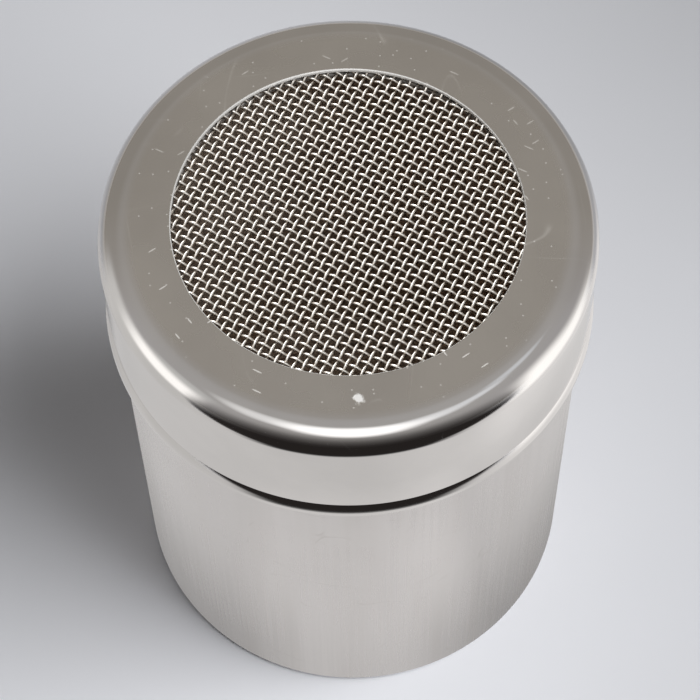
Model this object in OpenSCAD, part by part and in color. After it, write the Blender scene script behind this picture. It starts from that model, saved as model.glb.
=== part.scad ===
// A mesh-top shaker for spice, cocoa or powdered sugar. A drawn steel can carries a
// pressed slip-on lid. A disc of plain-woven wire closes the lid's round opening, held
// against the sheet from inside by a stepped, spot-welded clamp ring.
// Millimetres, +Z up. The origin is the centre of the foot, on the surface it stands on.

/* [Can] */
// Outer diameter of the can
can_d = 69.2; // [62:0.1:100]
// Height of the can up to its rim
can_h = 88.6; // [60:0.1:140]
// Sheet thickness of the can
can_wall = 0.6; // [0.4:0.05:1]
// Outer radius of the bend between wall and base
can_bend = 1.2; // [1.1:0.1:6]
// Width of the flat ring that the can stands on
foot_w = 5; // [2:0.1:8]
// Height by which the middle of the base is pressed up
base_rise = 0.8; // [0.3:0.05:2]

/* [Lid] */
// Play between the can and the lid's hem, on each side
lid_play = 0.3; // [0.2:0.05:1]
// Sheet thickness of the lid
lid_wall = 0.6; // [0.4:0.05:1]
// Height of the lid from its top face to the lower edge of its hem
lid_h = 22.5; // [15:0.1:40]
// Outer radius of the shoulder
shoulder_r = 4; // [2.5:0.1:6]
// Gap between the can's rim and the inside of the shoulder
rim_gap = 0.3; // [0.2:0.05:1]
// Diameter of the opening over the mesh
opening_d = 50; // [20:0.1:56]
// Radius that softens the upper edge of the opening
opening_edge = 0.25; // [0.1:0.05:0.35]

/* [Hem] */
// Height of the hem, from its lower edge to where the skirt starts to flare
hem_h = 3.1; // [2.5:0.05:8]
// How far the hem stands out from the skirt
hem_step = 0.5; // [0.1:0.05:0.6]
// Half the angle through which the flare curves, in degrees
flare_bow = 9; // [2:0.5:12]
// Height of the hem's upright lip
lip_h = 1.35; // [1.1:0.05:2]
// Height of the edge that is folded up inside the hem
fold_h = 2.4; // [1.4:0.05:4]

/* [Mesh] */
// Distance from one mesh wire to the next
mesh_pitch = 1.27; // [0.9:0.01:3]
// Thickness of a mesh wire
wire_d = 0.4; // [0.2:0.01:0.6]
// Gap between two wires where they cross
cross_gap = 0.02; // [0.01:0.01:0.1]
// Direction of the warp wires, counted from +X
mesh_turn = 62; // [0:1:90]

/* [Clamp ring] */
// Sheet thickness of the clamp ring
clamp_t = 0.5; // [0.3:0.05:0.8]
// How far the ring's bore is set back from the opening's edge
clamp_set = 0.1; // [0:0.05:2]
// Width of the flange that holds the mesh
clamp_lap = 1.2; // [0.6:0.05:2]
// How far the step between the two flanges leans outward
clamp_lean = 0.25; // [0.1:0.05:0.8]
// Width of the flange that is welded to the lid
weld_land = 1.7; // [1.5:0.05:2.5]
// Number of spot welds
weld_count = 8; // [4:1:16]
// Diameter of a weld's dimple
weld_d = 1; // [0.6:0.05:1.1]
// Depth of a weld's dimple
weld_dip = 0.15; // [0.05:0.05:0.2]
// Gap between the mesh and the sheets around it
mesh_gap = 0.02; // [0.01:0.01:0.1]

/* [Hidden] */
$fn = 96;
cut = 0.1;

can_r = can_d / 2;
foot_r = can_r - can_bend;

hem_in_r = can_r + lid_play;
fold_r = hem_in_r + lid_wall;
hem_r = fold_r + lid_wall;
skirt_r = hem_r - hem_step;
skirt_in_r = skirt_r - lid_wall;
flare_h = hem_h - lip_h;
flare_tilt = atan2(hem_step, flare_h);
flare_r = norm([hem_step, flare_h]) / (2 * sin(flare_bow));
flare_steps = 3;
bend_in_r = shoulder_r - lid_wall;
flat_r = skirt_in_r - bend_in_r;
rim_rise = sqrt(pow(bend_in_r, 2) - pow(can_r - flat_r, 2));
lid_top = can_h + rim_gap + bend_in_r - rim_rise + lid_wall;
lid_under = lid_top - lid_wall;
lid_low = lid_top - lid_h;
opening_r = opening_d / 2;

crown = (wire_d + cross_gap) / 2;
crown_half = wire_d / 2 + 2 * cross_gap;
mesh_t = 2 * crown + wire_d;
mesh_mid = lid_under - mesh_gap - mesh_t / 2;

clamp_drop = mesh_t + 2 * mesh_gap;
clamp_miter = clamp_t * tan(atan2(clamp_drop, clamp_lean) / 2);
clamp_in_r = opening_r + clamp_set;
step_r = clamp_in_r + clamp_lap;
land_r = step_r + clamp_lean;
clamp_out_r = land_r + weld_land;
weld_r = (land_r + clamp_miter + clamp_out_r) / 2;
mesh_r = step_r - mesh_gap;
side_wires = floor((mesh_r - wire_d / 2) / mesh_pitch);

steel = [0.76, 0.75, 0.74];
lid_steel = [0.80, 0.79, 0.78];
wire_steel = [0.86, 0.85, 0.82];
clamp_steel = [0.66, 0.65, 0.64];

// One quadrant of sheet bent to outer radius r, its centre at the origin
module bent_sheet(r, t)
    intersection() {
        difference() {
            circle(r);
            circle(r - t);
        }
        square(r);
    }

// Section of the can: rim, wall, bend, foot and raised base
module can_section() {
    translate([can_r - can_wall / 2, can_h - can_wall / 2])
        circle(d = can_wall);
    translate([can_r - can_wall, can_bend])
        square([can_wall, can_h - can_wall / 2 - can_bend]);
    translate([foot_r, can_bend])
        mirror([0, 1]) bent_sheet(can_bend, can_wall);
    polygon([
        [foot_r, 0],
        [foot_r, can_wall],
        [foot_r - foot_w, can_wall],
        [foot_r - foot_w - base_rise, can_wall + base_rise],
        [0, can_wall + base_rise],
        [0, base_rise],
        [foot_r - foot_w - base_rise, base_rise],
        [foot_r - foot_w, 0]
    ]);
}

// Drawn can, open at the top
module can_body()
    color(steel)
        rotate_extrude() can_section();

// Outline of the flare, an arc from the lip up to the skirt
function flare_arc() =
    let (
        chord_middle = [skirt_r + hem_step / 2, lip_h + flare_h / 2],
        centre = chord_middle - flare_r * cos(flare_bow) * [cos(flare_tilt), sin(flare_tilt)]
    )
    [
        for (k = [-flare_steps:flare_steps])
            let (turn = flare_tilt + flare_bow * k / flare_steps)
                centre + flare_r * [cos(turn), sin(turn)]
    ];

// Section of the hem: the skirt flares out to a lip, and its edge is folded up inside
module hem_section() {
    translate([fold_r, lid_wall])
        intersection() {
            circle(lid_wall);
            translate([-lid_wall, -lid_wall]) square([2 * lid_wall, lid_wall]);
        }
    translate([hem_in_r, lid_wall])
        square([lid_wall, fold_h - lid_wall]);
    polygon([
        [fold_r, lid_wall],
        [hem_r, lid_wall],
        each flare_arc(),
        [skirt_in_r, hem_h],
        [fold_r, lip_h]
    ]);
}

// Section of the lid's flat top, with the softened edge of the opening
module top_section() {
    translate([opening_r + opening_edge, -opening_edge])
        circle(opening_edge);
    translate([opening_r, -lid_wall])
        square([opening_edge, lid_wall - opening_edge]);
    translate([opening_r + opening_edge, -lid_wall])
        square([flat_r - opening_r - opening_edge, lid_wall]);
}

// Pressed lid: flat ring, round shoulder, straight skirt and folded hem
module lid_cap()
    color(lid_steel)
        rotate_extrude() {
            translate([0, lid_top]) top_section();
            translate([flat_r, lid_top - shoulder_r]) bent_sheet(shoulder_r, lid_wall);
            translate([skirt_in_r, lid_low + hem_h])
                square([lid_wall, lid_h - hem_h - shoulder_r]);
            translate([0, lid_low]) hem_section();
        }

// Upper (side 1) or lower (side -1) outline of a crimped wire: a flat crown at every crossing,
// up where the number of the crossing plus first is even
function crimps(side, first) = [
    for (k = [-side_wires - 1:side_wires + 1], end = [-1, 1])
        let (rise = abs(k + first) % 2 == 0 ? crown : -crown)
            [k * mesh_pitch + end * crown_half, rise + side * wire_d / 2]
];

// Length of wire number k: its ends stay inside the mesh's round outline
function wire_length(k) = 2 * sqrt(pow(mesh_r, 2) - pow(abs(k) * mesh_pitch + wire_d / 2, 2));

// A list of points, last one first
function backward(points) = [for (i = [len(points) - 1:-1:0]) points[i]];

// Sheet with the crimps of one wire, as wide as the mesh
module crimped_sheet(first)
    rotate([90, 0, 0])
        linear_extrude(height = 2 * mesh_r, center = true)
            polygon(concat(crimps(1, first), backward(crimps(-1, first))));

// Parallel crimped wires of the round mesh. Neighbours are crimped the other way round, so
// that the wires of the two directions pass over and under each other.
module crimped_wires(first)
    translate([0, 0, mesh_mid])
        for (odd = [0, 1])
            intersection() {
                crimped_sheet(first + odd);
                for (k = [-side_wires:side_wires])
                    if (abs(k) % 2 == odd)
                        translate([0, k * mesh_pitch, 0])
                            cube([wire_length(k), wire_d, mesh_t + cut], center = true);
            }

// Wires that run along mesh_turn
module mesh_warp_wires()
    color(wire_steel)
        rotate(mesh_turn) crimped_wires(0);

// Wires that cross the warp
module mesh_weft_wires()
    color(wire_steel)
        rotate(mesh_turn - 90) crimped_wires(1);

// Section of the clamp ring: a flange under the mesh, a step, and a flange on the lid
module clamp_section()
    polygon([
        [clamp_in_r, -clamp_drop],
        [step_r, -clamp_drop],
        [land_r, 0],
        [clamp_out_r, 0],
        [clamp_out_r, -clamp_t],
        [land_r + clamp_miter, -clamp_t],
        [step_r + clamp_miter, -clamp_drop - clamp_t],
        [clamp_in_r, -clamp_drop - clamp_t]
    ]);

// Stepped ring that holds the mesh against the lid, with the dimples of its spot welds
module mesh_clamp_ring()
    color(clamp_steel)
        difference() {
            translate([0, 0, lid_under])
                rotate_extrude() clamp_section();
            for (k = [0:weld_count - 1])
                rotate(360 / weld_count * k)
                    translate([weld_r, 0, lid_under - clamp_t - cut])
                        cylinder(d = weld_d, h = weld_dip + cut);
        }

can_body();
lid_cap();
mesh_warp_wires();
mesh_weft_wires();
mesh_clamp_ring();
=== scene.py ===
"""Looks of a mesh-top shaker: a steel can, its slip-on lid, the woven mesh and the clamp ring.

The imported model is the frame. The can, the lid and the wires are remade here as finer meshes
of the same sizes, every piece gets its finish, and a plain studio with a camera goes around it.
"""

import enum
import functools
import logging
import math
import random
from dataclasses import dataclass

import bpy
from bpy.types import Material, Mesh, Node, NodeTree, Object
from mathutils import Matrix, Quaternion, Vector


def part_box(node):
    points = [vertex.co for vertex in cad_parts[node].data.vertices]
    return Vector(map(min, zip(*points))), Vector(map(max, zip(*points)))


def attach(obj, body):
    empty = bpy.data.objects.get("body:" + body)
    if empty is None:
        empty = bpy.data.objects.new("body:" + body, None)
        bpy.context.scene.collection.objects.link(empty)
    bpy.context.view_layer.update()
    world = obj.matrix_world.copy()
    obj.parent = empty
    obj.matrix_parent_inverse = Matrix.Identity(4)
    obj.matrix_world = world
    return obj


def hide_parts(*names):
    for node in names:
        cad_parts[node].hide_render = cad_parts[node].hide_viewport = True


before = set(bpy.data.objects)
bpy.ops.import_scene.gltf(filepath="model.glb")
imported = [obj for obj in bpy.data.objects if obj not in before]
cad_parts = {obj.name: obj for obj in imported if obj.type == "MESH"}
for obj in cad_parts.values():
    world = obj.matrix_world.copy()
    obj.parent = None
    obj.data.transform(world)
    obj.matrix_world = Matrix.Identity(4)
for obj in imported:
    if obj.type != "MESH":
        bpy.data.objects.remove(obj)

MM = 0.001
# How much smaller a fillet is kept than the room for it, in millimetres
SLACK = 0.001
LOG = logging.getLogger("shaker")

Colour = tuple[float, float, float]
Link = bpy.types.NodeSocket
Links = dict[str, Link]
Value = Link | float
# Where a smooth change begins and ends, and what it goes from and to, if not from 0 to 1
Fade = tuple[float, ...]


# ---------------- sections and meshes


@dataclass(frozen=True)
class Corner:
    """One corner of a section, in millimetres from the axis and above the foot.

    Attributes:
        r: distance from the axis.
        z: height above the foot.
        fillet: radius that rounds the corner, or 0 on the axis.
    """

    r: float
    z: float
    fillet: float = 0.0


@dataclass(frozen=True)
class SectionPoint:
    """A point of a rounded section with the direction that its surface faces."""

    r: float
    z: float
    out_r: float
    out_z: float


@dataclass
class Lathe:
    """Turns a closed section, listed counterclockwise, into a smooth mesh.

    Attributes:
        corners: the section's corners.
        turns: number of steps once around the axis.
        arc_step: largest angle between two points of a fillet, in degrees.
    """

    corners: list[Corner]
    turns: int = 288
    arc_step: float = 7.5

    def section(self) -> list[SectionPoint]:
        """Rounds the corners of the section.

        Returns:
            The section's points in order, each with its outward normal.
        """
        points = []
        for i, corner in enumerate(self.corners):
            before, after = self.corners[i - 1], self.corners[(i + 1) % len(self.corners)]
            here = Vector((corner.r, corner.z))
            arriving = (here - Vector((before.r, before.z))).normalized()
            leaving = (Vector((after.r, after.z)) - here).normalized()
            if corner.fillet == 0:
                way = leaving if before.r == 0 else arriving
                points.append(SectionPoint(corner.r, corner.z, way.y, -way.x))
                continue
            turn = math.atan2(arriving.cross(leaving), arriving.dot(leaving))
            side = math.copysign(1, turn)
            start = here - arriving * corner.fillet * math.tan(abs(turn) / 2)
            centre = start + Vector((-arriving.y, arriving.x)) * side * corner.fillet
            steps = max(2, math.ceil(math.degrees(abs(turn)) / self.arc_step))
            for k in range(steps + 1):
                bend = Matrix.Rotation(turn * k / steps, 2)
                way = bend @ arriving
                at = centre + bend @ (start - centre)
                points.append(SectionPoint(at.x, at.y, way.y, -way.x))
        return points

    def turned(self, name: str, material: Material) -> Object:
        """Turns the section about the Z axis.

        Args:
            name: name of the new object.
            material: its material.

        Returns:
            The object, in metres, with the exact normals of the turned section.
        """
        points = self.section()
        on_axis = 1e-6
        verts, normals, rows, faces = [], [], [], []
        for point in points:
            around = 1 if point.r < on_axis else self.turns
            rows.append([len(verts) + k % around for k in range(self.turns)])
            for k in range(around):
                turn = math.tau * k / self.turns
                c, s = math.cos(turn), math.sin(turn)
                verts.append((point.r * c * MM, point.r * s * MM, point.z * MM))
                normals.append((point.out_r * c, point.out_r * s, point.out_z))
        for i, row in enumerate(rows):
            after = rows[(i + 1) % len(rows)]
            if max(points[i].r, points[(i + 1) % len(points)].r) < on_axis:
                continue
            for k in range(self.turns):
                n = (k + 1) % self.turns
                faces.append(list(dict.fromkeys([row[k], row[n], after[n], after[k]])))
        mesh = bpy.data.meshes.new(name)
        mesh.from_pydata(verts, [], faces)
        mesh.shade_smooth()
        mesh.normals_split_custom_set_from_vertices(normals)
        return place(mesh, material)


def place(data: bpy.types.ID, material: Material | None = None) -> Object:
    """Puts a mesh, a lamp or a camera into the scene.

    Args:
        data: the mesh, lamp or camera.
        material: the mesh's material.

    Returns:
        Its new object, at the origin, under its name.
    """
    if material is not None:
        data.materials.append(material)
    thing = bpy.data.objects.new(data.name, data)
    bpy.context.scene.collection.objects.link(thing)
    return thing


# ---------------- shader nodes


class Web:
    """Adds nodes to one node tree and joins them."""

    def __init__(self, tree: NodeTree) -> None:
        """Starts on a node tree, which loses the nodes that it has."""
        self.tree = tree
        tree.nodes.clear()

    def feed(self, socket: Link, value: object) -> None:
        """Links a socket to an input, or sets the input's value.

        Args:
            socket: the input.
            value: a socket, or the value to set. A colour gets its full opacity.
        """
        if isinstance(value, Link):
            self.tree.links.new(value, socket)
        else:
            socket.default_value = (*value, 1.0) if socket.type == "RGBA" else value

    def add(self, kind: str, inputs: dict[str | int, object] | None = None, **settings: object) -> Node:
        """Adds one node.

        Args:
            kind: type of the node, without the prefix ShaderNode where it has that.
            inputs: value, or socket to link, for each input named.
            settings: the node's own properties.

        Returns:
            The new node.
        """
        full = kind if kind.startswith("Node") else "ShaderNode" + kind
        node = self.tree.nodes.new(full)
        for name, value in settings.items():
            setattr(node, name, value)
        for name, value in (inputs or {}).items():
            self.feed(node.inputs[name], value)
        return node

    def calc(self, operation: str, a: Value, b: Value = 0.0, clamp: bool = False) -> Link:
        """Computes one value from two, and keeps it between 0 and 1 on request."""
        return self.add("Math", {0: a, 1: b}, operation=operation, use_clamp=clamp).outputs[0]

    def join(self, operation: str, values: tuple[Value, ...] | list[Value]) -> Link:
        """Computes one value from several, two at a time."""
        return functools.reduce(functools.partial(self.calc, operation), values)

    def times(self, *factors: Value) -> Link:
        """Multiplies values."""
        return self.join("MULTIPLY", factors)

    def plus(self, *terms: Value) -> Link:
        """Adds values."""
        return self.join("ADD", terms)

    def minus(self, a: Value, b: Value, clamp: bool = False) -> Link:
        """Takes b from a, and keeps the result between 0 and 1 on request."""
        return self.calc("SUBTRACT", a, b, clamp)

    def ramp(self, value: Link, low: float, high: float, start: float = 0.0, end: float = 1.0) -> Link:
        """Maps a value smoothly, so that low gives start and high gives end."""
        inputs = {"Value": value, "From Min": low, "From Max": high, "To Min": start, "To Max": end}
        return self.add("MapRange", inputs, interpolation_type="SMOOTHSTEP").outputs["Result"]

    def blend(self, share: Value, a: Link | tuple, b: Link | tuple) -> Link:
        """Mixes two colours, with b's share given."""
        return self.add("Mix", {"Factor": share, 6: a, 7: b}, data_type="RGBA").outputs[2]

    def scaled(self, colour: Link | Colour, factor: Link) -> Link:
        """Makes a colour brighter or darker by a factor."""
        return self.add("VectorMath", {0: colour, "Scale": factor}, operation="SCALE").outputs[0]

    def noise(self, where: Link, scale: Value, detail: float = 2.0) -> Link:
        """Adds noise with so many cells per metre and so many finer layers."""
        return self.add("TexNoise", {"Vector": where, "Scale": scale, "Detail": detail}).outputs["Fac"]

    def laid(self, where: Link, stretch: Colour, turn: float = 0.0, kind: str = "POINT") -> Link:
        """Scales coordinates, then turns them about Z; kind TEXTURE undoes both, the turn first."""
        inputs = {"Vector": where, "Rotation": (0, 0, turn), "Scale": stretch}
        return self.add("Mapping", inputs, vector_type=kind).outputs[0]

    def parts(self, where: Link) -> tuple[Link, Link, Link]:
        """Takes a vector apart into X, Y and Z."""
        return tuple(self.add("SeparateXYZ", {0: where}).outputs)

    def radius(self, where: Link) -> Link:
        """Gives the distance from the shaker's axis, in metres."""
        level = self.add("VectorMath", {0: where, 1: (1, 1, 0)}, operation="MULTIPLY").outputs[0]
        return self.add("VectorMath", {0: level}, operation="LENGTH").outputs["Value"]

    def azimuth(self, where: Link) -> Link:
        """Gives the azimuth from the camera's side towards +X, in degrees."""
        x, y, _ = self.parts(where)
        return self.calc("DEGREES", self.calc("ARCTAN2", x, self.times(y, -1.0)))


class Effect:
    """A node group for the finishes, built when it is first used."""

    name = "effect"
    values: tuple[str, ...] = ()
    results: tuple[str, ...] = ("Mask",)

    @classmethod
    def draw(cls, web: Web, where: Link, given: Links) -> Links:
        """Draws the inside of the group; each effect has its own.

        Args:
            web: the group's web.
            where: coordinates on the piece.
            given: the group's input values.

        Returns:
            One socket for each result.
        """
        raise NotImplementedError

    @classmethod
    def group(cls) -> NodeTree:
        """Builds the group, if it isn't there yet.

        Returns:
            The group.
        """
        if cls.name in bpy.data.node_groups:
            return bpy.data.node_groups[cls.name]
        tree = bpy.data.node_groups.new(cls.name, "ShaderNodeTree")
        tree.interface.new_socket("Where", in_out="INPUT", socket_type="NodeSocketVector")
        for name in cls.values:
            tree.interface.new_socket(name, in_out="INPUT", socket_type="NodeSocketFloat")
        for name in cls.results:
            tree.interface.new_socket(name, in_out="OUTPUT", socket_type="NodeSocketFloat")
        web = Web(tree)
        source = web.add("NodeGroupInput").outputs
        given = {name: source[name] for name in cls.values}
        web.add("NodeGroupOutput", cls.draw(web, source["Where"], given))
        return tree

    @classmethod
    def use(cls, web: Web, where: Link, **values: float) -> list[Link]:
        """Places the group in a material, with its inputs given by name, and gives its results."""
        inputs = {name.capitalize(): value for name, value in values.items()}
        return list(web.add("Group", {"Where": where, **inputs}, node_tree=cls.group()).outputs)


class HairScratches(Effect):
    """Thin curved scratches, in three directions, that fade in and out."""

    name = "hair_scratches"
    values = ("Scale", "Width")
    patch_scale = 170.0

    @classmethod
    def draw(cls, web: Web, where: Link, given: Links) -> Links:
        """Draws the contour lines of stretched noise, broken by a coarser one."""
        lines = []
        for turn, stretch in ((0.5, (1, 0.16, 1)), (2.1, (0.2, 1, 1)), (1.3, (1, 0.3, 1))):
            laid = web.laid(where, stretch, turn)
            distance = web.calc("ABSOLUTE", web.minus(web.noise(laid, given["Scale"], 1.0), 0.5))
            line = web.minus(1.0, web.calc("DIVIDE", distance, given["Width"]), clamp=True)
            patch = web.noise(laid, cls.patch_scale, 1.0)
            lines.append(web.times(line, web.ramp(patch, 0.54, 0.66)))
        return {"Mask": web.join("MAXIMUM", lines)}


class Specks(Effect):
    """Small round specks on a level face, scattered at random."""

    name = "specks"
    values = ("Scale", "Size", "Share")
    ways: tuple[tuple[float, float], ...] = ((0.0, 1.0),)

    @classmethod
    def draw(cls, web: Web, where: Link, given: Links) -> Links:
        """Draws a dot at the middle of a share of the cells, stretched along each of the ways."""
        masks = []
        for turn, stretch in cls.ways:
            inputs = {"Vector": web.laid(where, (stretch, 1, 1), turn, "TEXTURE"), "Scale": given["Scale"]}
            cells = web.add("TexVoronoi", inputs, voronoi_dimensions="2D")
            dot = web.calc("LESS_THAN", cells.outputs["Distance"], given["Size"])
            lot = web.add("SeparateColor", {0: cells.outputs["Color"]}).outputs[0]
            masks.append(web.times(dot, web.calc("LESS_THAN", lot, given["Share"])))
        return {"Mask": web.join("MAXIMUM", masks)}


class Nicks(Specks):
    """Short straight scratches: specks drawn out to dashes in three directions."""

    name = "nicks"
    ways = ((-0.5, 7.0), (-0.95, 5.0), (0.6, 6.0))


class Grain(Effect):
    """Fine grain and slow cloudy variation of a metal sheet."""

    name = "sheet_grain"
    values = ("Fine", "Slow")
    results = ("Fine grain", "Clouds")

    @classmethod
    def draw(cls, web: Web, where: Link, given: Links) -> Links:
        """Draws two layers of noise."""
        return {name: web.noise(where, scale, 3.0) for name, scale in zip(cls.results, given.values())}


class Finish:
    """What every finish has: a material with a Principled shader, and its coordinates."""

    @staticmethod
    def start(name: str) -> tuple[Material, Web, Link]:
        """Makes an empty material.

        Args:
            name: name of the material.

        Returns:
            The material, its web, and the coordinates on the piece in metres.
        """
        material = bpy.data.materials.new(name)
        material.use_nodes = True
        web = Web(material.node_tree)
        return material, web, web.add("TexCoord").outputs["Object"]

    @staticmethod
    def close(web: Web, colour: Link, rough: Value, height: Link | None = None,
              depth: float = 0.0, metal: Value = 1.0) -> Node:
        """Adds the Principled shader and the output.

        Args:
            web: the material's web.
            colour: base colour.
            rough: roughness.
            height: height of the surface's relief, from 0 to 1, or None.
            depth: depth of that relief in metres.
            metal: share of metal.

        Returns:
            The Principled shader.
        """
        inputs = {"Base Color": colour, "Roughness": rough, "Metallic": metal}
        if height is not None:
            bump = web.add("Bump", {"Height": height, "Distance": depth, "Strength": 1.0})
            inputs["Normal"] = bump.outputs[0]
        shader = web.add("BsdfPrincipled", inputs)
        web.add("OutputMaterial", {"Surface": shader.outputs[0]})
        return shader


@dataclass(frozen=True)
class LidSteel(Finish):
    """Polished steel sheet whose flat top is worn to a satin, with a painted highlight on the opening's
    cut edge and at a small dent.

    Attributes:
        colour: colour of the uncoated steel.
        worn: colour of the satin top.
        painted_highlight: colour of the opening's cut edge and of the dent, a painted highlight that dims
            towards -X.
        fresh: colour of fresh scratches.
        speck: colour of the specks.
        polish: roughness of shoulder and skirt.
        satin: roughness of the flat top.
        relief: height of the finest grain, in metres.
        dent: place of a small dent on the flat top, painted with a highlight, in metres.
        dent_depth: depth of that dent, in metres.
    """

    colour: Colour = (0.76, 0.74, 0.725)
    worn: Colour = (0.70, 0.665, 0.62)
    painted_highlight: Colour = (0.99, 0.98, 0.96)
    fresh: Colour = (0.97, 0.95, 0.91)
    speck: Colour = (0.97, 0.95, 0.92)
    polish: float = 0.085
    satin: float = 0.27
    relief: float = 0.0022 * MM
    dent: tuple[float, float] = (0.97 * MM, -28.7 * MM)
    dent_depth: float = 0.08 * MM

    def material(self, open_r: float, flat_r: float, top: float) -> Material:
        """Builds the material.

        Args:
            open_r: radius of the opening, in metres.
            flat_r: radius at which the flat top ends, in metres.
            top: height of the flat top, in metres.

        Returns:
            The material.
        """
        material, web, where = self.start("lid_steel")
        x, y, z = web.parts(where)
        radius = web.radius(where)
        on_top = web.ramp(radius, flat_r + 0.7 * MM, flat_r - 1.2 * MM)
        worn = web.times(on_top, web.calc("GREATER_THAN", z, top - 0.5 * MM))
        edge = web.calc("LESS_THAN", radius, open_r + 0.15 * MM)
        fine, clouds = Grain.use(web, where, fine=5200.0, slow=60.0)

        [hairs] = HairScratches.use(web, where, scale=70.0, width=0.0035)
        [nicks] = Nicks.use(web, where, scale=430.0, size=0.045, share=0.22)
        [specks] = Specks.use(web, where, scale=430.0, size=0.055, share=0.36)
        nicks = web.times(nicks, worn, web.ramp(y, 12 * MM, -18 * MM, 0.5, 0.95))
        marks = web.join("MAXIMUM", [web.times(hairs, web.ramp(worn, 0, 1, 0.08, 0.25)), nicks])
        spots = web.times(specks, worn, 0.55)
        # The dent is a real hollow in the relief, and its bright spot is a painted highlight
        away = web.add("VectorMath", {0: where, 1: (*self.dent, top)}, operation="DISTANCE")
        rim = web.ramp(web.noise(where, 900.0), 0.3, 0.7, -0.35 * MM, 0.35 * MM)
        dent = web.ramp(web.plus(away.outputs["Value"], rim), 0.95 * MM, 0.25 * MM)

        tint = web.blend(worn, self.colour, self.worn)
        tint = web.scaled(tint, web.ramp(clouds, 0.25, 0.75, 0.94, 1.04))
        tint = web.blend(marks, tint, self.fresh)
        tint = web.blend(spots, tint, self.speck)
        # Painted highlight on the opening's edge and at the dent, darker towards -X as painted shade
        pale = web.scaled(self.painted_highlight, web.ramp(x, -24 * MM, 4 * MM, 0.6, 1.0))
        tint = web.blend(web.join("MAXIMUM", [edge, dent]), tint, pale)

        satin = web.plus(web.ramp(clouds, 0.3, 0.7, -0.035, 0.035), self.satin)
        polish = web.ramp(clouds, 0.3, 0.7, self.polish - 0.02, self.polish + 0.03)
        rough = web.add("Mix", {"Factor": worn, "A": polish, "B": satin}).outputs[0]
        # The edge and the dent lose most of their metal, so that their painted highlight shows
        metal = web.minus(web.ramp(edge, 0, 1, 1.0, 0.15), web.times(dent, 0.8))
        metal = web.minus(metal, web.times(web.plus(marks, spots), 0.5), clamp=True)
        low = web.plus(marks, spots, web.times(dent, self.dent_depth / self.relief))
        height = web.minus(web.times(fine, web.ramp(worn, 0, 1, 0.08, 1.0)), low)
        self.close(web, tint, web.plus(rough, web.times(edge, 0.15)), height, self.relief, metal)
        return material


@dataclass(frozen=True)
class CanSteel(Finish):
    """Satin steel sheet with faint upright streaks.

    Attributes:
        colour: colour of the steel.
        dull: colour of the darker streaks.
        scratch: colour of the fine scratches.
        stain_and_shade: colour of the dusty inside.
        rough: mean roughness.
        relief: height of the streaks, in metres.
    """

    colour: Colour = (0.735, 0.712, 0.705)
    dull: Colour = (0.66, 0.63, 0.61)
    scratch: Colour = (0.5, 0.47, 0.44)
    stain_and_shade: Colour = (0.62, 0.51, 0.41)
    rough: float = 0.24
    relief: float = 0.00035 * MM

    def material(self, out_r: float) -> Material:
        """Builds the material.

        Args:
            out_r: outer radius of the can, in metres.

        Returns:
            The material.
        """
        material, web, where = self.start("can_steel")
        facing = web.parts(web.add("TexCoord").outputs["Normal"])[2]
        within = web.calc("LESS_THAN", web.radius(where), out_r - 0.3 * MM)
        inside = web.times(within, web.calc("GREATER_THAN", facing, -0.5))
        fine = web.noise(web.laid(where, (1, 1, 0.012)), 1900.0, 3.0)
        broad = web.noise(web.laid(where, (1, 1, 0.07)), 190.0)
        clouds = Grain.use(web, where, fine=4200.0, slow=45.0)[1]
        [hairs] = HairScratches.use(web, where, scale=55.0, width=0.003)
        marks = web.times(hairs, 0.3)

        streak = web.times(web.ramp(broad, 0.42, 0.78), 0.4)
        tint = web.blend(streak, self.colour, self.dull)
        tint = web.scaled(tint, web.ramp(fine, 0.3, 0.7, 0.975, 1.02))
        tint = web.blend(marks, tint, self.scratch)
        tint = web.blend(web.times(inside, 0.9), tint, self.stain_and_shade)
        lines = web.ramp(fine, 0.3, 0.7, self.rough - 0.03, self.rough + 0.05)
        rough = web.plus(web.ramp(clouds, 0.3, 0.7, -0.03, 0.03), lines, web.times(inside, 0.2))
        metal = web.minus(1.0, web.times(inside, web.ramp(clouds, 0.38, 0.66, 0.30, 0.75)))
        self.close(web, tint, rough, web.minus(fine, marks), self.relief, metal)
        return material


@dataclass(frozen=True)
class WireSteel(Finish):
    """Bright drawn wire, darkened low down with painted shade between the crossings.

    Attributes:
        colour: colour of the bright wire.
        stain_and_shade: colour of the painted shade low down between the crossings.
        rough: mean roughness.
        relief: depth of the drawing marks, in metres.
    """

    colour: Colour = (0.93, 0.90, 0.85)
    stain_and_shade: Colour = (0.56, 0.50, 0.435)
    rough: float = 0.27
    relief: float = 0.0015 * MM

    def material(self, middle: float, reach: float) -> Material:
        """Builds the material.

        Args:
            middle: height of the middle of the mesh, in metres.
            reach: height of its crowns above the middle, in metres.

        Returns:
            The material.
        """
        material, web, where = self.start("mesh_wire")
        # Painted shade: the wires darken where they run low, between and under the crossings
        low = web.ramp(web.parts(where)[2], middle + 0.80 * reach, middle + 0.15 * reach)
        painted_trough_shade = web.times(low, web.ramp(web.noise(where, 260.0, 3.0), 0.35, 0.7, 0.75, 0.95))
        tint = web.blend(painted_trough_shade, self.colour, self.stain_and_shade)
        drawn = web.noise(where, 3000.0)
        rough = web.plus(web.ramp(drawn, 0.3, 0.7, -0.05, 0.07),
                           web.ramp(painted_trough_shade, 0, 1, self.rough, self.rough + 0.2))
        self.close(web, tint, rough, drawn, self.relief)
        return material


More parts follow.
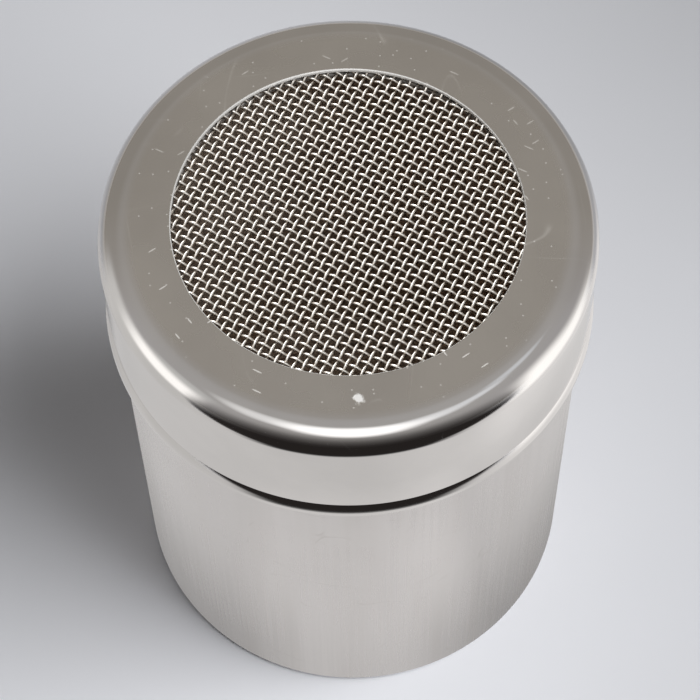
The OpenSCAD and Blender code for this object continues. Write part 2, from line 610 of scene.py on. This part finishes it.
@dataclass(frozen=True)
class ClampSteel(Finish):
    """Dull steel sheet, as it comes from the mill.

    Attributes:
        colour: colour of the sheet.
        rough: mean roughness.
        relief: depth of the grain, in metres.
        metal: share of metal, which dust lowers.
    """

    colour: Colour = (0.60, 0.575, 0.55)
    rough: float = 0.36
    relief: float = 0.002 * MM
    metal: float = 0.5

    def material(self) -> Material:
        """Builds the material.

        Returns:
            The material.
        """
        material, web, where = self.start("clamp_steel")
        fine, clouds = Grain.use(web, where, fine=4500.0, slow=90.0)
        tint = web.scaled(self.colour, web.ramp(clouds, 0.25, 0.75, 0.88, 1.06))
        rough = web.ramp(fine, 0.3, 0.7, self.rough - 0.05, self.rough + 0.06)
        self.close(web, tint, rough, fine, self.relief, self.metal)
        return material


# ---------------- the shaker's pieces


@dataclass
class Can:
    """The drawn can. Sizes in millimetres.

    Attributes:
        wall: thickness of the sheet.
        bend: outer radius between wall and base.
        foot_w: width of the ring that the can stands on.
        base_rise: height of the raised middle of the base.
        press: radius of the pressed edges of the base.
    """

    wall: float = 0.6
    bend: float = 1.2
    foot_w: float = 5.0
    base_rise: float = 0.8
    press: float = 0.4

    def corners(self) -> list[Corner]:
        """Lists the corners of the can's section.

        Returns:
            The corners, from the middle of the base outward and back.
        """
        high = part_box("can_body")[1]
        out_r, rim = high.x / MM, high.z / MM
        in_r = out_r - self.wall
        foot_in = out_r - self.bend - self.foot_w
        raised = foot_in - self.base_rise
        edge = self.wall / 2 - SLACK
        return [
            Corner(0, self.base_rise),
            Corner(raised, self.base_rise, self.press),
            Corner(foot_in, 0, self.press),
            Corner(out_r, 0, self.bend),
            Corner(out_r, rim, edge),
            Corner(in_r, rim, edge),
            Corner(in_r, self.wall, self.bend - self.wall),
            Corner(foot_in, self.wall, self.press),
            Corner(raised, self.wall + self.base_rise, self.press),
            Corner(0, self.wall + self.base_rise),
        ]

    def build(self) -> list[Object]:
        """Makes the can and dresses it.

        Returns:
            The can, as a list of one.
        """
        can = Lathe(self.corners()).turned("steel_can", CanSteel().material(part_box("can_body")[1].x))
        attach(can, "can")
        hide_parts("can_body")
        return [can]


@dataclass
class Lid:
    """The pressed lid. Sizes in millimetres.

    Attributes:
        wall: thickness of the sheet.
        shoulder: outer radius of the shoulder.
        opening_r: radius of the opening over the mesh.
        opening_edge: radius that softens the opening's upper edge.
        hem_h: height at which the skirt starts to flare.
        hem_step: how far the hem stands out from the skirt.
        flare_bow: half the angle through which the flare curves, in degrees.
        lip_h: height of the hem's upright lip.
        fold_h: height of the edge folded up inside the hem.
        crease: radius of the creases where the hem flares.
        bow_share: share of the flare's radius that leaves room for the creases.
    """

    wall: float = 0.6
    shoulder: float = 4.0
    opening_r: float = 25.0
    opening_edge: float = 0.25
    hem_h: float = 3.1
    hem_step: float = 0.5
    flare_bow: float = 9.0
    lip_h: float = 1.35
    fold_h: float = 2.4
    crease: float = 0.12
    bow_share: float = 0.92

    def skirt_r(self) -> float:
        """Gives the outer radius of the skirt."""
        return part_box("lid_cap")[1].x / MM - self.hem_step

    def flat_r(self) -> float:
        """Gives the radius at which the flat top ends."""
        return self.skirt_r() - self.shoulder

    def corners(self) -> list[Corner]:
        """Lists the corners of the lid's section.

        Returns:
            The corners, up its outside and down its inside.
        """
        low_corner, high_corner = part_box("lid_cap")
        low, top, hem_r = low_corner.z / MM, high_corner.z / MM, high_corner.x / MM
        skirt_r = self.skirt_r()
        in_r, hem_in = skirt_r - self.wall, hem_r - 2 * self.wall
        rise, bow = self.hem_h - self.lip_h, math.radians(self.flare_bow)
        fold_in = in_r + self.hem_step / rise * (self.hem_h - self.fold_h)
        chord, tilt = math.hypot(self.hem_step, rise), math.atan2(self.hem_step, rise)
        bulge = chord / 2 * math.tan(bow)
        bow_r = skirt_r + self.hem_step / 2 + bulge * math.cos(tilt)
        bow_z = low + self.lip_h + rise / 2 + bulge * math.sin(tilt)
        cut = 0.05
        return [
            Corner(hem_in, low, self.wall - SLACK),
            Corner(hem_r, low, self.wall - SLACK),
            Corner(hem_r, low + self.lip_h, self.crease),
            Corner(bow_r, bow_z, self.bow_share * chord / (2 * math.sin(bow))),
            Corner(skirt_r, low + self.hem_h, self.crease),
            Corner(skirt_r, top, self.shoulder),
            Corner(self.opening_r, top, self.opening_edge),
            Corner(self.opening_r, top - self.wall, cut),
            Corner(in_r, top - self.wall, self.shoulder - self.wall),
            Corner(in_r, low + self.hem_h, self.crease),
            Corner(fold_in, low + self.fold_h, cut),
            Corner(hem_in, low + self.fold_h, cut),
        ]

    def build(self) -> list[Object]:
        """Makes the lid and dresses it.

        Returns:
            The lid, as a list of one.
        """
        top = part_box("lid_cap")[1].z
        steel = LidSteel().material(self.opening_r * MM, self.flat_r() * MM, top)
        lid = Lathe(self.corners()).turned("pressed_lid", steel)
        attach(lid, "lid")
        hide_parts("lid_cap")
        return [lid]


class Family(enum.Enum):
    """The two families of wires of a plain weave: node, turn in degrees, and first crimp."""

    WARP = ("mesh_warp_wires", 62.0, 0)
    WEFT = ("mesh_weft_wires", -28.0, 1)

    def __init__(self, node: str, degrees: float, first: int) -> None:
        """Takes the node, the turn from +X, and 0 or 1 for a middle wire that starts up or down."""
        self.node, self.turn, self.first = node, math.radians(degrees), first


@dataclass
class WovenMesh:
    """The disc of plain-woven wire. Sizes in millimetres.

    Attributes:
        pitch: distance from one wire to the next.
        wire_d: thickness of a wire.
        cross_gap: gap between two wires where they cross.
        outline_r: radius of the disc.
        sides: number of sides of a wire.
        rings: number of rings from one crossing to the next.
        sway: how far a wire wanders sideways.
        wave: length over which its wandering turns by one radian.
        seed: start of the random draws.
    """

    pitch: float = 1.27
    wire_d: float = 0.4
    cross_gap: float = 0.02
    outline_r: float = 26.28
    sides: int = 8
    rings: int = 6
    sway: float = 0.035
    wave: float = 7.0
    seed: int = 7

    def crown(self) -> float:
        """Gives the height of a crimp above the middle of the mesh."""
        return (self.wire_d + self.cross_gap) / 2

    def middle(self) -> float:
        """Gives the height of the middle of the mesh."""
        low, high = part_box(Family.WARP.node)
        return (low.z + high.z) / 2 / MM

    def wire(self, number: int, first: int, chance: random.Random) -> tuple[list[Vector], list[list[int]]]:
        """Makes one crimped wire along X, with the crossing wires at whole pitches.

        Args:
            number: which wire of its family, 0 in the middle.
            first: whether the middle wire starts up (0) or down (1).
            chance: source of the wire's small waver.

        Returns:
            The wire's points in millimetres and its faces.
        """
        y = number * self.pitch
        half = math.sqrt(self.outline_r**2 - (abs(y) + self.wire_d / 2 + self.sway) ** 2)
        steps = 2 * round(half / self.pitch * self.rings)
        shift, begin = chance.uniform(-1, 1), chance.uniform(0, math.tau)
        points = []
        for k in range(steps + 1):
            x = -half + 2 * half * k / steps
            phase = math.pi * (x / self.pitch + number + first)
            z = self.crown() * math.cos(phase)
            slope = -self.crown() * math.pi / self.pitch * math.sin(phase)
            waver = (shift + math.sin(x / self.wave + begin)) / 2
            centre = Vector((x, y + self.sway * waver, z))
            up = Vector((-slope, 0, 1)).normalized()
            for side in range(self.sides):
                turn = math.tau * (side + 0.5) / self.sides
                out = Vector((0, math.cos(turn), 0)) + up * math.sin(turn)
                points.append(centre + out * self.wire_d / 2)
        faces, n = [], self.sides
        for k in range(0, steps * n, n):
            faces += [[k + i, k + i + n, k + (i + 1) % n + n, k + (i + 1) % n] for i in range(n)]
        last = steps * n
        return points, [*faces, list(range(n)), list(range(last + n - 1, last - 1, -1))]

    def build_family(self, family: Family, material: Material) -> Object:
        """Makes all wires of one family as one piece.

        Args:
            family: warp or weft.
            material: the wires' finish.

        Returns:
            The piece.
        """
        chance = random.Random(family.first + self.seed)
        turned = Matrix.Translation((0, 0, self.middle())) @ Matrix.Rotation(family.turn, 4, "Z")
        count = math.floor((self.outline_r - self.wire_d / 2 - self.sway) / self.pitch)
        verts, faces = [], []
        for number in range(-count, count + 1):
            points, sides = self.wire(number, family.first, chance)
            faces += [[len(verts) + i for i in face] for face in sides]
            verts += [turned @ point * MM for point in points]
        mesh = bpy.data.meshes.new(family.node.replace("mesh_", "woven_"))
        mesh.from_pydata(verts, [], faces)
        mesh.shade_smooth()
        wires = place(mesh, material)
        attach(wires, "lid")
        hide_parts(family.node)
        return wires

    def build(self) -> list[Object]:
        """Makes both families of wires.

        Returns:
            One piece for each family.
        """
        reach = self.crown() + self.wire_d / 2
        material = WireSteel().material(self.middle() * MM, reach * MM)
        return [self.build_family(family, material) for family in Family]


@dataclass
class ClampRing:
    """The stepped ring under the mesh, whose own CAD shape stays."""

    node: str = "mesh_clamp_ring"

    def build(self) -> list[Object]:
        """Dresses the ring.

        Returns:
            The ring, as a list of one.
        """
        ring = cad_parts[self.node]
        ring.data.materials.clear()
        ring.data.materials.append(ClampSteel().material())
        return [ring]


# ---------------- studio and camera


@dataclass(frozen=True)
class Softbox:
    """One soft lamp of the studio, aimed at the shaker's lid. Sizes in metres, angles in degrees.

    Attributes:
        name: name of the lamp.
        azimuth: direction from the lid, turned from the camera's side towards +X.
        elevation: height of that direction above the horizon.
        distance: distance from the lid.
        width: width of the lamp.
        height: height of the lamp.
        glow: brightness of its face.
        roll: turn of the lamp about the line to the lid.
        mirrored: whether polished metal shows the lamp.
    """

    name: str
    azimuth: float
    elevation: float
    distance: float
    width: float
    height: float
    glow: float
    roll: float = 0.0
    mirrored: bool = True

    def build(self, aim: Vector, lit: list[Object] | None = None) -> None:
        """Makes the lamp.

        Args:
            aim: the point that the lamp faces.
            lit: the only pieces that the lamp lights, or None for all.
        """
        light = bpy.data.lights.new(self.name, "AREA")
        light.shape = "RECTANGLE"
        light.size, light.size_y = self.width, self.height
        light.energy = self.glow * math.pi * self.width * self.height
        lamp = place(light)
        way = direction(self.azimuth, self.elevation)
        lamp.location = aim + way * self.distance
        rolled = Quaternion((0, 0, 1), math.radians(self.roll))
        lamp.rotation_euler = (way.to_track_quat("Z", "Y") @ rolled).to_euler()
        lamp.visible_glossy = self.mirrored
        lamp.visible_camera = False
        if lit is not None:
            light_only(lamp, lit)


def light_only(lamp: Object, lit: list[Object]) -> None:
    """Makes a lamp or a glowing panel light some pieces and no others.

    Args:
        lamp: the lamp or panel.
        lit: the pieces that it lights.
    """
    group = bpy.data.collections.new(lamp.name + "_lit")
    for piece in lit:
        group.objects.link(piece)
    lamp.light_linking.receiver_collection = group


@dataclass(frozen=True)
class Glow:
    """A soft round area of the room, brighter or darker than the rest. Angles in degrees.

    Attributes:
        azimuth: direction of its middle, turned from the camera's side towards +X.
        elevation: height of its middle above the horizon.
        inner: angle within which it is even.
        outer: angle at which it has faded out.
        colour: brightness and colour of its middle.
    """

    azimuth: float
    elevation: float
    inner: float
    outer: float
    colour: Colour

    def over(self, web: Web, way: Link, under: Link) -> Link:
        """Lays the glow over the room's colour.

        Args:
            web: the room's web.
            way: the direction looked in.
            under: colour without this glow.

        Returns:
            The socket with the colour.
        """
        middle = direction(self.azimuth, self.elevation)
        node = web.add("VectorMath", {0: way, 1: tuple(middle)}, operation="DOT_PRODUCT")
        far, near = math.cos(math.radians(self.outer)), math.cos(math.radians(self.inner))
        share = web.ramp(node.outputs["Value"], far, near)
        return web.blend(share, under, self.colour)


def direction(azimuth: float, elevation: float) -> Vector:
    """Gives the unit vector at so many degrees from the camera's side towards +X, and so many up."""
    side, rise = math.radians(azimuth), math.radians(elevation)
    return Vector((math.sin(side) * math.cos(rise), -math.cos(side) * math.cos(rise), math.sin(rise)))


@dataclass(frozen=True)
class Panel:
    """A soft glowing panel beside the shaker. Azimuths in degrees, heights in metres.

    Attributes:
        name: name of the panel.
        middle: azimuth of its middle.
        half: azimuth from its middle to its ends.
        front: fade of its front end, by azimuth.
        back: fade of its back end, by azimuth.
        top: fade of its upper end, by height.
        foot: fade of its lower end, by height; as set here, it lies below the panel.
        drop: how far the upper end comes down, by azimuth.
        glow: strength of its glow, from low down to high up.
        rise: where the glow grows, by height.
        rise_front: where the glow grows, by azimuth.
    """

    name: str
    middle: float
    half: float
    front: Fade
    back: Fade
    top: Fade
    foot: Fade = (-2 * MM, -1 * MM)
    drop: Fade = (0.0, 1.0, 0.0, 0.0)
    glow: Fade = (1.0, 1.0)
    rise: Fade = (0.0, 1.0)
    rise_front: Fade = (0.0, 1.0)


@dataclass
class Studio:
    """A pale floor, a soft grey room, two lamps, and a flag, a card and panels seen in metal only.

    Sizes are in metres and azimuths in degrees.

    Attributes:
        floor_size: side of the floor.
        floor_drop: how far the floor lies below the foot, so that the two faces don't fight.
        floor_colour: colour of the floor.
        floor_rough: roughness of the floor.
        painted_far_glow: how far the distant floor glows in the room's tone for reflected rays only, a
            painted reflection.
        room: brightness and colour of the room beside the shaker.
        room_back: the same behind the shaker.
        glows: the room's softer and darker areas, each laid over those before it.
        dimming: share of the room's light that falls on matt surfaces.
        flag_r: radius of the dark flag around the front.
        flag_half: azimuth of its ends.
        flag_tone: brightness and colour of the flag, a painted dark reflection.
        wall_height: height of the flag and the panels.
        card_r: outer radius of the pale card around the foot.
        card_half: azimuth of its ends.
        card_tone: brightness and colour of the card's glow, a painted reflection of the floor.
        panel_r: radius on which the panels stand.
        panel_tone: brightness and colour of the panels.
        panels: the panels, which light the sheet metal and not the wires.
        key: the key lamp.
        spark: the lamp that makes the wires glint.
    """

    floor_size: float = 6.0
    floor_drop: float = 0.02 * MM
    floor_colour: Colour = (0.83, 0.843, 0.886)
    floor_rough: float = 0.62
    painted_far_glow: float = 0.9
    room: Colour = (0.42, 0.41, 0.41)
    room_back: Colour = (0.312, 0.292, 0.264)
    glows: tuple[Glow, ...] = (
        Glow(0, 5, 25, 62, (0.23, 0.22, 0.215)),
        Glow(0, 76, 0, 62, (0.435, 0.425, 0.415)),
        Glow(-40, 62, 0, 18, (0.90, 0.90, 0.90)),
        Glow(40, 64, 0, 15, (0.90, 0.91, 0.93)),
        Glow(68, 62, 0, 9, (0.80, 0.82, 0.85)),
        Glow(95, 63, 0, 9, (0.68, 0.70, 0.73)),
        Glow(0, 58, 4, 23, (1.60, 1.60, 1.60)),
        Glow(-70, 33, 2, 17, (0.62, 0.62, 0.61)),
    )
    dimming: float = 0.17
    flag_r: float = 0.112
    flag_half: float = 55.0
    flag_tone: Colour = (0.022, 0.019, 0.018)
    wall_height: float = 0.175
    card_r: float = 0.24
    card_half: float = 135.0
    card_tone: Colour = (0.655, 0.645, 0.64)
    panel_r: float = 0.116
    panel_tone: Colour = (1.34, 1.325, 1.30)
    panels: tuple[Panel, ...] = (
        Panel("right_panel", 77, 31, (49, 62), (104, 84), (149 * MM, 85 * MM),
              foot=(-8 * MM, 50 * MM), drop=(64, 86, 0.0, 28 * MM)),
        Panel("left_panel", -78, 34, (-46, -57), (-110, -95), (152 * MM, 112 * MM),
              glow=(0.48, 1.0), rise=(62 * MM, 94 * MM), rise_front=(-97, -66)),
    )
    key: Softbox = Softbox("key_lamp", 71.5, 50.5, 0.9, 0.733, 0.727, 6.25, mirrored=False)
    spark: Softbox = Softbox("spark_lamp", -151, 40, 0.9, 1.7, 0.6, 3.4, roll=45)

    def floor(self) -> None:
        """Makes the floor, with painted light: brighter at the left and at the front, darker to the right
        and at the back.
        """
        half, z = self.floor_size / 2, -self.floor_drop
        mesh = bpy.data.meshes.new("studio_floor")
        mesh.from_pydata([(-half, -half, z), (half, -half, z), (half, half, z), (-half, half, z)],
                         [], [[0, 1, 2, 3]])
        material, web, where = Finish.start("studio_floor")
        x, y, _ = web.parts(where)
        clouds = web.ramp(web.noise(where, 9.0, 3.0), 0.3, 0.7, -0.015, 0.015)
        # Painted light fall-off: brighter towards -X and the front, darker towards +X and the back
        across = web.ramp(x, -0.05, 0.11, 0.085, -0.29)
        along = web.ramp(y, 0.0, 0.16, 1.02, 0.78)
        bright = web.plus(clouds, across, along)
        shader = Finish.close(web, web.scaled(self.floor_colour, bright), self.floor_rough, metal=0.0)
        # Painted reflection: for reflected rays the floor glows in the room's tone, more the farther out
        mirrored = web.add("LightPath").outputs["Is Glossy Ray"]
        painted_far_glow = web.times(web.ramp(web.radius(where), 0.2, 0.9, 0.0, self.painted_far_glow), mirrored)
        web.feed(shader.inputs["Emission Color"], self.room_back)
        web.feed(shader.inputs["Emission Strength"], painted_far_glow)
        floor = place(mesh, material)

    def strip(self, name: str, middle: float, half: float, edges: tuple, steps: int = 48) -> Mesh:
        """Makes a strip of faces that goes around the shaker.

        Args:
            name: name of the mesh.
            middle: azimuth of its middle, in degrees.
            half: azimuth from its middle to its ends, in degrees.
            edges: radius and height of each of its two edges, in metres.
            steps: number of faces.

        Returns:
            The mesh.
        """
        ways = [direction(middle + half * (2 * k / steps - 1), 0) for k in range(steps + 1)]
        verts = [(way.x * r, way.y * r, z) for way in ways for r, z in edges]
        mesh = bpy.data.meshes.new(name)
        mesh.from_pydata(verts, [], [[2 * k, 2 * k + 2, 2 * k + 3, 2 * k + 1] for k in range(steps)])
        return mesh

    def wall(self, radius: float) -> tuple:
        """Gives the edges of an upright wall of a radius."""
        return ((radius, 0.5 * MM), (radius, self.wall_height))

    def reflect(self, mesh: Mesh, material: Material, web: Web, share: Link, tone: Colour,
                strength: Value = 1.0) -> Object:
        """Ends a part's material with a glow, and hides the part from all but the metal's reflections.

        Args:
            mesh: its mesh.
            material: its material.
            web: the material's web.
            share: how much of the part is there; elsewhere it is clear.
            tone: brightness and colour of its glow.
            strength: strength of the glow.

        Returns:
            The part, on the stage.
        """
        glow = web.add("Emission", {"Color": tone, "Strength": strength})
        inputs = {0: share, 1: web.add("BsdfTransparent").outputs[0], 2: glow.outputs[0]}
        web.add("OutputMaterial", {"Surface": web.add("MixShader", inputs).outputs[0]})
        part = place(mesh, material)
        part.visible_camera = False
        part.visible_diffuse = False
        part.visible_shadow = False
        part.visible_transmission = False
        return part

    def panel(self, panel: Panel) -> Object:
        """Makes one of the glowing panels.

        Args:
            panel: which one.

        Returns:
            The panel, on the stage.
        """
        material, web, where = Finish.start(panel.name)
        z, turn = web.parts(where)[2], web.azimuth(where)
        across = web.times(web.ramp(turn, *panel.front), web.ramp(turn, *panel.back))
        upper = web.ramp(web.plus(z, web.ramp(turn, *panel.drop)), *panel.top)
        share = web.times(across, upper, web.ramp(z, *panel.foot))
        high = web.times(web.ramp(z, *panel.rise), web.ramp(turn, *panel.rise_front))
        strength = web.ramp(high, 0, 1, *panel.glow)
        mesh = self.strip(panel.name, panel.middle, panel.half, self.wall(self.panel_r))
        return self.reflect(mesh, material, web, share, self.panel_tone, strength)

    def flag(self) -> None:
        """Makes the dark flag, a painted dark reflection seen only in the metal, whose edges move and
        soften towards its ends.
        """
        material, web, where = Finish.start("dark_flag")
        z, turn = web.parts(where)[2], web.azimuth(where)
        aside = web.calc("DIVIDE", web.calc("ABSOLUTE", turn), self.flag_half)
        rise = web.times(web.calc("POWER", aside, 3.0), 62 * MM)
        soft = web.plus(web.times(aside, 28 * MM), 4 * MM)
        lower = web.ramp(web.calc("DIVIDE", web.minus(z, rise), soft), -0.5, 0.5)
        drop = web.times(web.calc("POWER", aside, 4.0), 50 * MM)
        upper = web.ramp(web.plus(z, drop), 160 * MM, 80 * MM)
        share = web.times(lower, upper, web.ramp(aside, 1.04, 0.93))
        mesh = self.strip("dark_flag", 0, self.flag_half * 1.1, self.wall(self.flag_r))
        self.reflect(mesh, material, web, share, self.flag_tone)

    def card(self) -> None:
        """Makes the pale card on the floor, a glow seen only in the metal that is a painted reflection of
        the floor, with a painted contact shadow next to the can and painted shade far out at the front.
        """
        near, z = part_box("can_body")[1].x + 0.1 * MM, 0.3 * MM
        mesh = self.strip("pale_card", 0, self.card_half, ((self.card_r, z), (near, z)), 96)
        material, web, where = Finish.start("pale_card")
        radius, turn = web.radius(where), web.azimuth(where)
        aside = web.calc("ABSOLUTE", turn)
        # Painted contact shadow next to the can
        painted_contact_shadow = web.ramp(radius, near - 2 * MM, near + 18 * MM, 0.42, 0.0)
        painted_contact_shadow = web.times(painted_contact_shadow, web.ramp(aside, 8, 36, 0.35, 1.0))
        # Painted light and shade over the card's reflection, by azimuth and radius
        left, right = web.ramp(turn, -78, -108, 1.0, 0.88), web.ramp(turn, 0, 30, 0.0, 0.10)
        outer = web.times(web.ramp(radius, 64 * MM, 76 * MM), web.ramp(turn, 40, 65, 0.0, 0.22))
        inner = web.times(web.ramp(radius, 72 * MM, 60 * MM), web.ramp(turn, 34, 48, 0.0, -0.10))
        front = web.times(web.ramp(radius, 72 * MM, 62 * MM), web.ramp(aside, 46, 28, 0.0, 0.13))
        # Painted shade far out at the front
        painted_far_shade = web.times(web.ramp(radius, 76 * MM, 108 * MM), web.ramp(aside, 46, 24, 0.0, 0.95))
        bright = web.times(web.plus(front, 1.0, right, outer, inner), web.minus(left, painted_contact_shadow),
                             web.minus(1.0, painted_far_shade))
        share = web.times(web.ramp(aside, 132, 112), web.ramp(radius, self.card_r, 0.13))
        self.reflect(mesh, material, web, share, self.card_tone, bright)

    def air(self) -> None:
        """Lights the room."""
        world = bpy.data.worlds.new("studio_room")
        world.use_nodes = True
        web = Web(world.node_tree)
        way = web.add("TexCoord").outputs["Generated"]
        behind = web.ramp(web.parts(way)[1], -0.05, 0.6)
        colour = web.blend(behind, self.room, self.room_back)
        for glow in self.glows:
            colour = glow.over(web, way, colour)
        matt = web.add("LightPath").outputs["Is Diffuse Ray"]
        strength = web.ramp(matt, 0.0, 1.0, 1.0, self.dimming)
        back = web.add("Background", {"Color": colour, "Strength": strength})
        web.add("OutputWorld", {"Surface": back.outputs[0]})
        world.cycles.sampling_method = "NONE"
        bpy.context.scene.world = world

    def build(self, aim: Vector, wires: list[Object], sheets: list[Object]) -> None:
        """Builds the studio around the shaker.

        Args:
            aim: the point that the lamps face.
            wires: the pieces of the woven mesh.
            sheets: the pieces of sheet metal.
        """
        self.floor()
        self.flag()
        self.card()
        for panel in self.panels:
            light_only(self.panel(panel), sheets)
        self.air()
        self.key.build(aim)
        self.spark.build(aim, wires)


@dataclass
class PhotoCamera:
    """The camera of the photograph.

    Attributes:
        focal: focal length, in pixels of the 700-pixel frame.
        frame_width: width of that frame in pixels.
        distance: distance to the point aimed at, in metres.
        elevation: angle above the horizon, in degrees.
        roll: turn about the line of sight, in degrees.
        aim: the point aimed at, in metres.
    """

    focal: float = 2500.6
    frame_width: float = 700.0
    distance: float = 0.38639
    elevation: float = 61.92
    roll: float = -1.162
    aim: tuple[float, float, float] = (-0.0001, 0.0, 0.05161)

    def build(self) -> None:
        """Makes the camera and puts the scene on it."""
        camera = bpy.data.cameras.new("photo_camera")
        camera.sensor_fit = "HORIZONTAL"
        camera.sensor_width = 36.0
        camera.lens = self.focal / self.frame_width * camera.sensor_width
        camera.clip_start = 0.01
        camera.dof.use_dof = False
        tilt = Matrix.Rotation(math.radians(90 - self.elevation), 4, "X")
        back = Matrix.Translation((0, 0, self.distance))
        roll = Matrix.Rotation(math.radians(self.roll), 4, "Z")
        stand = place(camera)
        stand.matrix_world = Matrix.Translation(self.aim) @ tilt @ back @ roll
        bpy.context.scene.camera = stand


def main() -> None:
    """Builds the pieces in order, then the studio and the camera."""
    logging.basicConfig(level=logging.INFO, format="%(name)s: %(message)s")
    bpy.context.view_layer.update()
    PhotoCamera().build()
    makers = {
        "can": Can().build,
        "lid": Lid().build,
        "woven mesh": WovenMesh().build,
        "clamp ring": ClampRing().build,
    }
    pieces = {}
    for name, make in makers.items():
        pieces[name] = make()
        faces = sum(len(piece.data.polygons) for piece in pieces[name])
        LOG.info("%s: %d piece(s), %d faces", name, len(pieces[name]), faces)
    lid_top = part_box("lid_cap")[1].z
    sheets = pieces["can"] + pieces["lid"] + pieces["clamp ring"]
    Studio().build(Vector((0, 0, lid_top)), pieces["woven mesh"], sheets)
    bpy.context.scene.view_settings.view_transform = "Standard"


if __name__ == "__main__":
    main()
